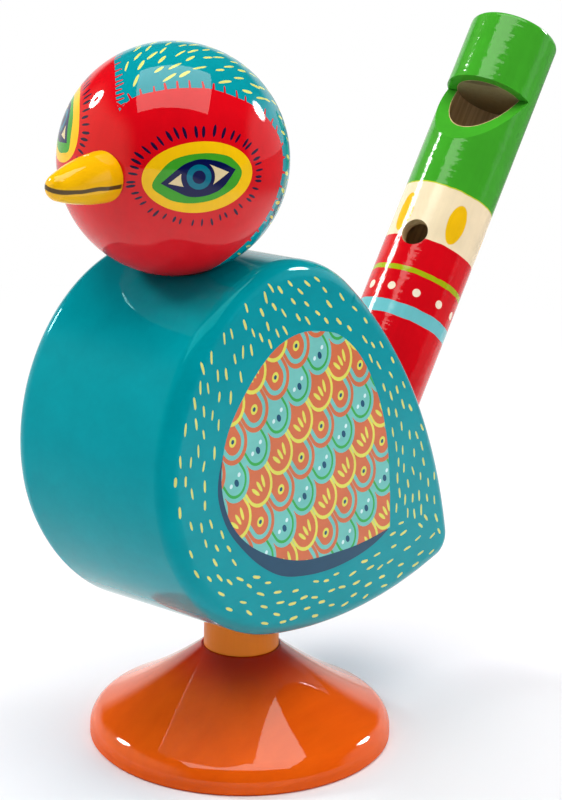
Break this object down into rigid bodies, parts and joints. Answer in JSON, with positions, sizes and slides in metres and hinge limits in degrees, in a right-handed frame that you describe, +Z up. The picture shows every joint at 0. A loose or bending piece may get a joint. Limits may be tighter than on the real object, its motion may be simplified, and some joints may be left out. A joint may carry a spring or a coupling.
{
  "type": "bird call whistle",
  "caption": "Painted wooden bird whistle on a turned foot, with a ball head, board body and a whistle tube as its tail.",
  "frame": {"origin": "centre of the foot's underside, where the bird stands on a table", "axes": "+Z up, the bird faces -Y and its tail tube runs back and up along +Y, its left side is +X"},
  "size_m": [0.058, 0.1521, 0.136],
  "materials": {
    "foot_lacquer": "orange high-gloss lacquer on turned wood",
    "stem_stain": "satin orange stain on a wooden dowel",
    "body_lacquer": "teal high-gloss lacquer with painted feather dashes and a wing panel",
    "head_lacquer": "red and teal high-gloss lacquer with painted eyes",
    "beak_lacquer": "yellow gloss lacquer with a dark mouth line",
    "tube_lacquer": "green, cream and red gloss bands on a wooden tube, raw wood in the bore",
    "bare_wood": "bare sanded beech"
  },
  "bodies": {
    "root": {"foot": "foot_lacquer", "stem": "stem_stain", "body": "body_lacquer", "neck_dowel": "bare_wood", "head": "head_lacquer", "beak": "beak_lacquer", "whistle_tube": "tube_lacquer", "fipple_block": "bare_wood"}
  },
  "joints": []
}
